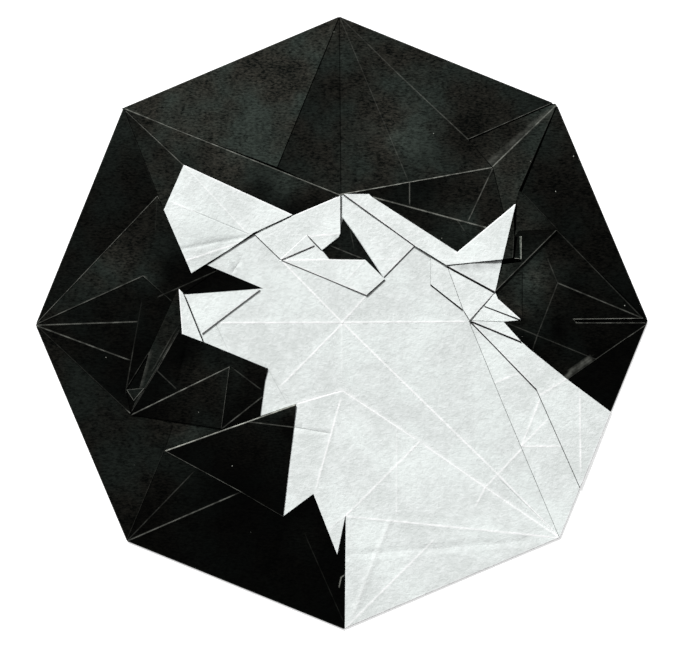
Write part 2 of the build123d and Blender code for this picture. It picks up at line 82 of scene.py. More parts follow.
# Fold points, and points where a flap is painted lighter or darker as painted highlight and painted shade,
# read off the picture in pixels
SEEN = {
    "centre": (342.2, 322.5),
    "centre_low": (343.2, 323.2),
    # black flaps above the head
    "apex": (341.0, 195.1),
    "temple": (278.0, 166.0),
    "crown": (372.0, 197.0),
    "crown_tip": (350.0, 192.4),
    "crown_crease": (408.0, 180.5),
    "crown_shade": (417.0, 186.5),
    "top_glow": (402.0, 135.0),
    "temple_shade": (316.0, 100.0),
    "brow_glow_left": (181.0, 135.0),
    "brow_glow": (235.0, 157.0),
    "brow_glow_right": (290.0, 179.0),
    "brow_shade": (262.0, 193.0),
    "tuck_top": (409.5, 183.0),
    "tuck_low": (409.5, 203.0),
    "knot": (492.7, 168.2),
    "knot_over": (492.5, 166.8),
    "knot_mid": (397.0, 73.3),
    "knot_in": (468.0, 140.0),
    "knot_soft": (488.0, 164.0),
    "wing_shade": (506.0, 131.0),
    "wing_low": (504.5, 217.0),
    "wing_flank": (518.8, 191.0),
    "flank": (520.6, 191.8),
    "rein": (485.5, 227.5),
    "rein_mid": (468.0, 221.0),
    "rein_tick_top": (458.0, 221.5),
    "rein_tick_low": (464.5, 231.0),
    # black flaps behind the neck
    "post": (557.0, 230.0),
    "post_left": (519.0, 231.0),
    "tab_in_top": (518.6, 236.6),
    "tab_out_top": (521.2, 236.0),
    "tab_out_low": (521.2, 259.6),
    "tab_in_low": (519.2, 259.2),
    "face_top": (516.8, 237.2),
    "face_right": (518.6, 237.0),
    "face_low": (514.0, 258.8),
    "pocket_in": (503.2, 264.2),
    "pocket_right": (521.0, 261.8),
    "pocket_low": (519.6, 259.6),
    "pocket_top": (519.0, 237.2),
    "pocket_corner": (514.0, 237.6),
    "ear_gap": (516.4, 206.0),
    "slip_top": (513.6, 213.0),
    "slip_corner": (513.9, 237.0),
    "back_edge": (515.4, 229.0),
    "slip_right": (512.6, 258.0),
    "slip_left": (503.2, 259.6),
    "elbow": (557.4, 283.0),
    "elbow_top": (547.0, 258.0),
    "elbow_low": (537.5, 334.3),
    "elbow_end": (533.0, 347.5),
    "panel_light": (532.0, 280.0),
    "panel_low": (520.0, 311.0),
    "panel_dark": (574.0, 288.0),
    "panel_end": (558.0, 330.0),
    "seam_top": (522.1, 270.0),
    "seam_low": (522.1, 314.0),
    "slit_upper": (573.5, 319.5),
    "slit_lower": (577.0, 322.4),
    "slit_end_upper": (643.5, 318.7),
    "slit_end_lower": (645.0, 322.4),
    "slit_foot": (645.2, 325.8),
    "pleat": (596.0, 359.5),
    "pleat_end": (567.5, 379.4),
    "back_tick": (566.0, 378.6),
    "ridge_top": (590.3, 359.7),
    "ridge_upper_top": (588.8, 358.0),
    "ridge_upper_end": (571.0, 370.6),
    "ridge_end": (565.5, 377.0),
    # black flaps before the face
    "hollow": (163.0, 207.5),
    "spur": (157.6, 197.0),
    "spur_tail": (155.5, 230.0),
    "knee": (143.5, 276.5),
    "cheek_glow": (118.0, 261.0),
    "cheek_shade": (172.0, 272.0),
    "knee_low": (171.5, 301.5),
    "fan_top": (142.0, 301.0),
    "fan_cross": (163.0, 294.7),
    "fan_upper": (137.0, 321.7),
    "fan_mid": (134.0, 346.0),
    "fan_lower": (129.4, 360.0),
    "fan_end": (126.4, 389.3),
    "gape": (178.5, 288.0),
    "gape_upper": (216.5, 271.0),
    "strip_left": (149.0, 353.0),
    "strip_notch": (139.0, 390.0),
    "strip_low": (132.0, 410.0),
    "strip_mid": (156.5, 369.8),
    "strip_right": (178.0, 332.0),
    "strip_crease": (175.8, 388.0),
    "strip_inner_top": (175.0, 331.0),
    "strip_inner_low": (153.5, 369.0),
    "foot_right": (145.5, 387.5),
    "foot_low": (134.0, 401.0),
    "jaw_glow": (199.0, 373.0),
    "jaw_hollow": (183.0, 356.0),
    "jaw_dent_top": (187.0, 345.0),
    "jaw_dent_low": (178.0, 385.0),
    "hinge": (131.0, 414.5),
    "hinge_tail": (120.6, 406.0),
    "hinge_in": (131.4, 413.6),
    "jowl_top": (230.2, 366.0),
    "jowl_low": (221.9, 428.6),
    "jowl_crease_upper": (260.8, 389.2),
    "jowl_crease_lower": (262.0, 397.0),
    "tick_top": (173.5, 424.5),
    "throat_left": (164.5, 450.6),
    "throat_glow": (190.0, 433.0),
    "throat_mid": (248.0, 421.5),
    "throat_right": (296.0, 404.0),
    "bib_top": (293.7, 427.0),
    "bib_low": (239.0, 490.8),
    "low_line": (238.0, 493.0),
    "low_crease": (196.2, 469.2),
    "foot_crease_top": (305.0, 534.0),
    "foot_crease_low": (343.0, 620.0),
    "hair_top": (345.0, 574.3),
    "hair_bend": (341.2, 577.0),
    "hair_low": (339.2, 586.0),
    # snout
    "snout_top": (184.0, 165.0),
    "brow_left": (293.0, 215.0),
    "snout_lip_upper": (254.0, 233.0),
    "snout_lip_lower": (230.0, 249.5),
    "snout_low": (191.5, 273.5),
    "snout_left": (164.0, 210.0),
    "snout_pinch": (248.0, 234.0),
    "snout_dent_end": (247.0, 237.0),
    "snout_fold_end": (238.0, 243.2),
    "snout_edge_upper": (171.0, 202.0),
    "snout_edge_bend": (196.0, 212.3),
    "snout_edge_mid": (182.4, 249.0),
    "snout_edge_lower": (188.0, 260.0),
    "snout_shade": (223.0, 244.0),
    "snout_shade_left": (199.0, 249.0),
    # muzzle, eye and lids
    "lip": (254.8, 234.6),
    "roof": (209.0, 266.0),
    "mouth": (262.0, 288.2),
    "brow_mid": (298.0, 213.7),
    "brow_low": (338.5, 196.5),
    "nose_top": (340.5, 195.0),
    "nose_low": (340.5, 233.0),
    "nose_line_left": (308.0, 236.6),
    "nose_line_right": (339.5, 233.9),
    "eye_inner": (339.0, 237.0),
    "eye_fold": (322.0, 250.5),
    "muzzle_notch": (307.5, 235.5),
    "eye_line_left": (331.0, 246.0),
    "eye_line_right": (360.6, 258.0),
    "eye_line_top": (350.0, 229.0),
    "eye_line_low": (353.0, 243.0),
    "nick_top": (238.6, 263.0),
    "nick_low": (233.5, 271.0),
    "lid_left": (281.0, 260.0),
    "lid_corner": (315.0, 245.5),
    "lid_mid": (329.0, 259.2),
    "lid_right": (365.0, 259.8),
    "eye_outer": (383.5, 277.5),
    "lid_outer": (385.0, 279.0),
    "lid_low": (366.5, 295.3),
    "lid_crease": (346.0, 281.0),
    "eye_top": (342.3, 217.0),
    "eye_side": (355.0, 234.5),
    "cheek_top": (342.5, 196.5),
    "cheek_right": (414.6, 245.9),
    "cheek_line_left": (373.0, 259.5),
    "cheek_line_right": (399.7, 258.9),
    # brow and ear
    "brow_start": (343.0, 194.0),
    "brow_end": (369.0, 194.0),
    "brow_line_left": (409.0, 236.3),
    "brow_line_right": (422.7, 231.5),
    "ear_root": (457.4, 252.0),
    "ear_tip": (515.7, 203.5),
    "ear_out": (502.1, 260.5),
    "ear_base": (495.0, 292.0),
    "ear_in": (447.0, 266.0),
    "ear_dusk_left": (463.0, 266.5),
    "ear_dusk": (477.0, 265.2),
    "ear_dusk_right": (491.0, 263.8),
    "ear_light_left": (465.0, 273.0),
    "ear_light": (479.0, 273.0),
    "ear_light_right": (491.0, 273.0),
    # ruff, spikes and neck
    "ruff_top": (430.2, 257.5),
    "ruff_left": (430.2, 284.3),
    "ruff_low": (463.0, 310.0),
    "hub": (469.5, 320.5),
    "hub_line": (468.5, 321.4),
    "spike_root": (498.0, 299.0),
    "spike_tip": (521.5, 320.2),
    "spike_notch": (503.5, 321.8),
    "spike_crease": (484.0, 306.0),
    "second_tip": (521.5, 341.8),
    "mane": (530.0, 349.3),
    "neck_knee": (540.8, 394.0),
    "neck_left": (495.0, 382.5),
    "neck_low": (521.0, 446.0),
    "neck_tick": (516.5, 374.0),
    "neck_cross": (522.7, 447.6),
    "neck_star_upper": (540.0, 398.0),
    "neck_star_mid": (548.0, 418.5),
    "neck_star_right": (561.0, 446.0),
    "back_crease_top": (579.3, 394.0),
    "back_crease_low": (580.2, 472.0),
    # jaw and chest
    "jaw_tip": (179.0, 288.2),
    "jaw_top": (184.8, 294.3),
    "jaw_end": (261.0, 289.2),
    "jaw_fold": (202.0, 334.0),
    "jaw_in": (204.2, 342.4),
    "jaw_low": (182.3, 334.0),
    "jaw_line_left": (184.0, 323.0),
    "jaw_line_right": (189.5, 316.5),
    "chin": (268.0, 368.7),
    "chin_line": (287.0, 403.5),
    "throat_upper": (265.0, 380.0),
    "throat": (260.0, 416.3),
    "chest_left": (297.5, 403.0),
    "chest_top": (342.5, 390.0),
    "chest_right": (420.0, 441.3),
    "chest_low": (485.5, 486.8),
    "chest_tail": (475.8, 505.3),
    "bib_line": (329.8, 433.3),
    "fur_first": (283.0, 516.5),
    "fur_notch": (313.3, 494.0),
    "fur_second": (337.3, 555.0),
    "fur_root": (345.5, 516.0),
    "fur_line": (330.0, 527.5),
    "star_left": (218.0, 322.8),
    "star_low": (279.8, 386.8),
    "star_back": (495.0, 471.5),
    "star_down": (342.0, 375.0),
    "star_dusk": (499.0, 478.5),
    "cheek_tick_top": (216.0, 324.4),
    "cheek_tick_low": (227.5, 349.0),
    "chest_crease_top": (396.8, 432.0),
    "chest_crease_low": (396.5, 512.0),
    "fur_crease_top": (340.3, 400.4),
    "fur_crease_low": (316.4, 486.3),
    "hem_crease": (433.0, 540.5),
    "hem_bend": (376.2, 553.1),
    "hem_start": (348.3, 626.2),
    "hem_top": (390.3, 520.3),
    "hem_left": (348.0, 554.5),
    "s_in": (344.6, 628.2),
    "se_in": (559.6, 537.4),
}


class Side(Enum):
    """Which colour of the sheet lies up."""

    BLACK = "black"
    WHITE = "white"


class Mark(Enum):
    """What a crease does to the sheet.

    Each kind has a height and a half width in millimetres, then a wear and a painted shade from 0 to 1.
    The wear is worn colour on the black side and a painted highlight on the white side; the soft ridge and
    the broad flat kind paint a highlight along ridges, and the valley and the slit paint shade into the
    crease.
    """

    BRIGHT = (0.036, 0.18, 0.36, 0.0)
    CLEAR = (0.033, 0.17, 0.24, 0.0)
    LIGHT = (0.03, 0.16, 0.16, 0.0)
    FAINT = (0.02, 0.15, 0.07, 0.0)
    # A broad ridge whose wear is a painted highlight
    SOFT = (0.08, 0.8, 0.07, 0.0)
    # A painted highlight along a ridge, with almost no height
    RUBBED = (0.01, 0.6, 0.14, 0.0)
    TRACE = (0.015, 0.13, 0.02, 0.0)
    # Grooves whose shade is painted into the colour
    VALLEY = (-0.07, 0.13, 0.0, 0.2)
    SLIT = (-0.07, 0.15, 0.0, 0.85)
    DENT = (-0.15, 0.6, 0.0, 0.0)
    HOLLOW = (-0.1, 1.2, 0.0, 0.0)

    @property
    def height(self) -> float:
        """Height of the crease above the sheet."""
        return self.value[0] * MM

    @property
    def half_width(self) -> float:
        """Distance from the crease to where the sheet is flat again."""
        return self.value[1] * MM

    @property
    def wear(self) -> float:
        """Share of the colour that has gone from the crease, and on the white side the strength of its
        painted highlight.
        """
        return self.value[2]

    @property
    def shade(self) -> float:
        """Share by which the crease darkens the colour: painted shade."""
        return self.value[3]

    @property
    def cuts(self) -> tuple[float, ...]:
        """Where the mesh is cut along the crease, in shares of its half width."""
        broad = self in (Mark.SOFT, Mark.RUBBED, Mark.DENT, Mark.HOLLOW)
        return (-1, -0.5, 0, 0.5, 1) if broad else (-1, 0, 1)

    @property
    def spreads(self) -> bool:
        """Whether the crease shows wider on the white side."""
        return self in (Mark.BRIGHT, Mark.LIGHT, Mark.FAINT)


@dataclass(frozen=True)
class Crease:
    """A line that an opened fold has left, from one point to another."""

    first: str
    second: str
    mark: Mark


@dataclass(frozen=True)
class Fold:
    """A folded or worn edge of a flap.

    Attributes:
        first: Outline point where it starts.
        second: Outline point where it ends.
        wear: Share of the colour that has gone from the edge, and on a white flap the strength of its
            painted highlight.
        turns: Whether the sheet goes on round the edge, or the edge only lies free.
    """

    first: str
    second: str
    wear: float
    turns: bool


def rows(text: str) -> list[list[str]]:
    """Splits text at its commas, and each part into words."""
    return [part.split() for part in text.split(",") if part]


@dataclass(frozen=True)
class Flap:
    """One flap of the sheet, named points first, then how it lies.

    Attributes:
        name: What the flap is called.
        outline: Names of its corner points, in order.
        side: The colour that lies up.
        layer: Layer that it lies on, counted from the base.
        turned: Edges where the sheet turns over: two end points and the wear of each, with commas between
            edges. On a white flap the wear is a painted highlight. An edge on the rim of the octagon needs
            no wear.
        free: Worn edges that lie free, written in the same way, with a painted highlight on a white flap.
        creases: The creases across it.
        levels: Points that lie on another layer, each followed by that layer.
        tone: Brightness of its paper, 1 being the plain colour: its own tone with painted sheen and shade.
        shaded_tones: Points painted brighter or darker than that, each followed by the brightness.
        painted_shade_peeks: Edges where its black reverse is put out past the white face as a line of
            painted
        shade: two end points and the reach of each in millimetres, with commas between edges.
        laps: Edges that run on beneath the flap beside them, or stop short of it where the reach is below 0,
            written in the same way.
        reverse: Whether it is the black reverse of another flap.
        still: Whether it lies flat, without ripples.
    """

    name: str
    outline: str
    side: Side
    layer: float
    turned: str = ""
    free: str = ""
    creases: tuple[Crease, ...] = ()
    levels: str = ""
    tone: float = 1.0
    shaded_tones: str = ""
    painted_shade_peeks: str = ""
    laps: str = ""
    reverse: bool = False
    still: bool = False

    @property
    def folds(self) -> list[Fold]:
        """Its folded and worn edges, with a painted highlight on a white flap, those that turn first."""
        return [Fold(first, second, float(wear[0]) if wear else RIM_WEAR, turns)
                for text, turns in ((self.turned, True), (self.free, False))
                for first, second, *wear in rows(text)]

    def known(self, plain: float, changes: str) -> dict[str, float]:
        """Gives a value to each corner point, and to each point that has its own.

        Args:
            plain: The value that holds unless it is changed.
            changes: Points with a value of their own, each followed by that value.

        Returns:
            The values by point.
        """
        words = changes.split()
        own = dict(zip(words[::2], map(float, words[1::2])))
        return {name: plain for name in self.outline.split()} | own


def marks(**lines: str) -> tuple[Crease, ...]:
    """Makes the creases of a flap.

    Args:
        lines: For each kind of mark, the two end points of every crease, with commas between creases.

    Returns:
        The creases.
    """
    return tuple(Crease(*ends, Mark[kind]) for kind, text in lines.items() for ends in rows(text))


def margins(text: str) -> dict[frozenset[str], float]:
    """Reads the reach of each edge from its two end points and millimetres, with commas between edges."""
    return {frozenset((first, second)): float(reach) * MM for first, second, reach in rows(text)}


# Share of the colour that has gone from the rim of the octagon
RIM_WEAR = 0.05
# Edge of the chest flap, with a painted highlight on the flap and on the ground beside it
CHEST_EDGE = "chest_left chest_top, chest_top chest_right, chest_right chest_low, chest_low se_in"

# Each flap's tone and tone points paint sheen and shade onto its paper, besides the paper's own tone
BLACK_FLAPS = (
    Flap("crown_flap", "crown crown_tip knot wing_low ear_root", Side.BLACK, 1,
         turned="crown ear_root 0.02",
         creases=marks(BRIGHT="crown rein", LIGHT="knot rein_mid, tuck_top tuck_low",
                       FAINT="rein_tick_top rein_tick_low"), tone=0.5,
         shaded_tones="crown 0.25 crown_tip 0.15 crown_shade 0.15 knot 0.8 ear_root 0.35 rein_mid 0.8"),
    Flap("top_right_flap", "n knot_rim knot_in knot apex temple", Side.BLACK, 2,
         turned="n knot_rim, knot apex 0.75", free="knot_rim knot_in 0.3",
         creases=marks(SLIT="n apex", FAINT="n crown_crease, n knot_mid", LIGHT="knot_mid knot_in",
                       TRACE="knot_in knot"),
         levels="knot_rim 3.4 knot_in 3.4 knot 1.3 tuck_top 1.1 crown 1.2 apex 1.4", tone=1.1,
         shaded_tones="temple 0.5 temple_shade 0.5 apex 0.9 knot_rim 0.4 knot_in 0.5 crown_crease 0.8 "
               "top_glow 1.9 n 1.2", laps="temple apex 0.3"),
    Flap("top_left_flap", "nw n temple", Side.BLACK, 2.8,
         turned="nw n", tone=1.65, laps="nw temple 0.3"),
    Flap("brow_strip", "nw apex brow_low brow_mid brow_left snout_top", Side.BLACK, 3,
         turned="nw apex 0.3", levels="nw 3.8 brow_low 1.9 brow_mid 1.7 brow_left 1.7 snout_top 2.3",
         tone=0.7,
         shaded_tones="apex 0.8 brow_low 0.3 brow_mid 0.1 brow_left 0.1 brow_glow_left 1.7 brow_glow 2 "
               "brow_glow_right 1.5 brow_shade 0.3"),
    Flap("wing_flap", "ne wing_flank ear_tip wing_low knot knot_in knot_rim", Side.BLACK, 2.6,
         turned="ne wing_flank 0.04, knot_rim ne",
         creases=marks(BRIGHT="ne knot_over", SOFT="ne knot_soft"), levels="wing_flank 3.2", tone=1.4,
         shaded_tones="wing_low 1 ear_tip 1.2 wing_shade 0.6 knot_in 0.5", laps="knot_in knot_rim -0.25"),
    Flap("right_upper_flap", "ne post_rim post flank", Side.BLACK, 2.3,
         turned="ne post_rim", free="flank post 0.06", levels="ne 2.2 flank 2 post_rim 1.1 post 1.2",
         tone=0.2, shaded_tones="ne 0.7 flank 0.4 post_rim 0.08", laps="post_rim post 0.12, ne flank -0.2"),
    Flap("ear_back",
         "wing_flank flank post post_left pocket_corner back_edge ear_gap ear_tip", Side.BLACK, 2.8,
         levels="post 1.8 post_left 2.9", tone=0.8, shaded_tones="post 0.15 flank 0.3 post_left 1.2"),
    Flap("post_flap",
         "post_left post ear_base pocket_in pocket_right pocket_low pocket_top "
         "pocket_corner", Side.BLACK, 3.9,
         turned="post ear_base 0.22", levels="post 4.1 post_left 2.9", tone=0.15,
         shaded_tones="pocket_in 1.4 pocket_right 0.5 ear_base 1", laps="ear_base pocket_in 0.1"),
    Flap("ear_slip", "slip_top slip_corner slip_right slip_left", Side.BLACK, 3.8,
         free="slip_corner slip_right 0.1", levels="slip_top 3.2 slip_left 4.2 slip_right 4.1", tone=0.8,
         laps="slip_left slip_top 0.25"),
    Flap("tab_face", "face_top face_right tab_in_low face_low", Side.BLACK, 3.4,
         free="face_low tab_in_low 0.6", tone=0.3),
    Flap("ear_tab", "tab_in_top tab_out_top tab_out_low tab_in_low", Side.BLACK, 4.2,
         turned="tab_out_top tab_out_low 0.9",
         free="tab_out_low tab_in_low 0.5, tab_in_top tab_out_top 0.4", tone=4.0),
    Flap("right_middle_flap",
         "post slit_end_upper slit_upper slit_lower slit_end_lower slit_foot pleat pleat_end mane "
         "second_tip spike_notch spike_tip spike_root ear_base", Side.BLACK, 1.6,
         turned="post slit_end_upper 0.05, slit_foot pleat 0.2",
         free="slit_end_upper slit_upper 0.6, slit_lower slit_end_lower 0.4, pleat pleat_end 0.12",
         creases=marks(LIGHT="elbow slit_end_upper",
                       FAINT="elbow elbow_low, elbow_low elbow_end, pleat spike_notch, elbow_top elbow",
                       SLIT="seam_top seam_low",
                       RUBBED="ridge_top ridge_end, ridge_upper_top ridge_upper_end"), tone=0.12,
         shaded_tones="panel_light 1.7 panel_low 1.3 spike_root 1 ear_base 0.3 panel_dark 0.1 panel_end 0.02 "
               "slit_upper 0.15 pleat_end 0.2 mane 0.03 pleat 0.05 slit_end_lower 0.05 slit_foot 0.05 "
               "spike_notch 0.05 second_tip 0.05 spike_tip 0.1"),
    Flap("right_lower_flap", "e back_top pleat_end pleat", Side.BLACK, 1,
         turned="e back_top", tone=0.06),
    Flap("temple_flap", "nw snout_top snout_left hollow", Side.BLACK, 2,
         turned="nw snout_top 0.2", tone=0.7, shaded_tones="snout_left 1.6 nw 0.4"),
    Flap("left_upper_flap", "nw hollow spur w", Side.BLACK, 2,
         turned="w nw", free="nw hollow 0.02, spur w 0.35", levels="nw 2.7 hollow 2.5", tone=0.25,
         shaded_tones="nw 0.6"),
    Flap("left_cheek_flap",
         "w spur hollow snout_left snout_low roof gape_upper knee_low knee", Side.BLACK, 1.8,
         turned="knee w 0.25", free="knee_low knee 0.1",
         creases=marks(FAINT="gape gape_upper, fan_cross gape", TRACE="spur spur_tail"), tone=0.5,
         shaded_tones="roof 0.05 snout_low 0.05 gape_upper 0.05 cheek_glow 1.2 cheek_shade 0.06 knee_low 0.1 "
               "knee 0.8"),
    Flap("left_middle_flap",
         "w knee gape_upper roof mouth jaw_top gape strip_left fan_end hinge", Side.BLACK, 1,
         turned="hinge w 0.04", free="strip_left fan_end 0.1",
         creases=marks(CLEAR="w fan_upper, w fan_lower", LIGHT="fan_cross gape, gape gape_upper",
                       TRACE="fan_top fan_mid", FAINT="fan_mid fan_end", BRIGHT="hinge_tail hinge_in"),
         tone=0.06, shaded_tones="w 0.3 knee 0.4 hinge 0.3 fan_top 0.2 mouth 0.1"),
    Flap("jaw_strip",
         "gape jaw_tip jaw_low strip_right strip_mid strip_low strip_notch strip_left", Side.BLACK, 2,
         turned="strip_left gape 0", free="strip_right strip_mid 0.12, strip_mid strip_low 0.12",
         creases=marks(SOFT="strip_left strip_notch", FAINT="strip_inner_top strip_inner_low"), tone=0.5),
    Flap("strip_foot", "fan_end foot_right foot_low", Side.BLACK, 2.6,
         free="fan_end foot_low 0.35, foot_right foot_low 0.4, fan_end foot_right 0.2", tone=0.45),
    Flap("jaw_flap",
         "strip_right jaw_low chin throat_upper throat throat_mid jowl_low hinge strip_low "
         "strip_mid", Side.BLACK, 1.8,
         turned="strip_mid strip_right 0.12", free="strip_low strip_mid 0.12",
         creases=marks(FAINT="strip_mid strip_crease, jowl_top jowl_crease_upper",
                       LIGHT="jowl_low jowl_crease_lower", DENT="jaw_dent_top jaw_dent_low"), tone=0.06,
         shaded_tones="chin 0.45 jowl_top 0.35 jaw_glow 0.6 jaw_hollow 0.02 hinge 0.04 throat 0.1"),
    Flap("jowl_flap", "hinge jowl_top jowl_low", Side.BLACK, 2.5,
         turned="hinge jowl_top 0.25", free="jowl_top jowl_low 0.22", tone=0.5,
         shaded_tones="jowl_low 0.3 hinge 0.05"),
    Flap("left_lower_flap", "w hinge jowl_low throat_mid throat_left sw", Side.BLACK, 1,
         turned="sw w", free="throat_left sw 0.05", creases=marks(SLIT="tick_top throat_left"), tone=0.4,
         shaded_tones="sw 0.25 throat_glow 1"),
    Flap("throat_flap", "throat_left throat_right bib_top fur_first bib_low", Side.BLACK, 2.6,
         turned="throat_left throat_right 0.75", free="bib_low throat_left 0.28, fur_first bib_low 0.08",
         creases=marks(LIGHT="throat_mid bib_top"), tone=0.05, shaded_tones="throat_right 0.7 bib_low 0.03"),
    Flap("bottom_left_flap",
         "sw throat_left bib_low fur_first fur_notch fur_second fur_root s", Side.BLACK, 1.6,
         turned="s sw",
         creases=marks(CLEAR="sw low_line", FAINT="sw low_crease", TRACE="foot_crease_top foot_crease_low",
                       BRIGHT="hair_top hair_bend, hair_bend hair_low"), tone=0.04,
         shaded_tones="sw 0.1 throat_left 0.35 foot_crease_top 0.12"),
    Flap("eye_flap",
         "eye_top eye_side eye_outer lid_outer lid_right lid_mid eye_fold eye_inner "
         "nose_low", Side.BLACK, 0.8,
         creases=marks(LIGHT="eye_line_left eye_line_right", FAINT="eye_line_top eye_line_low"), tone=0.4),
)

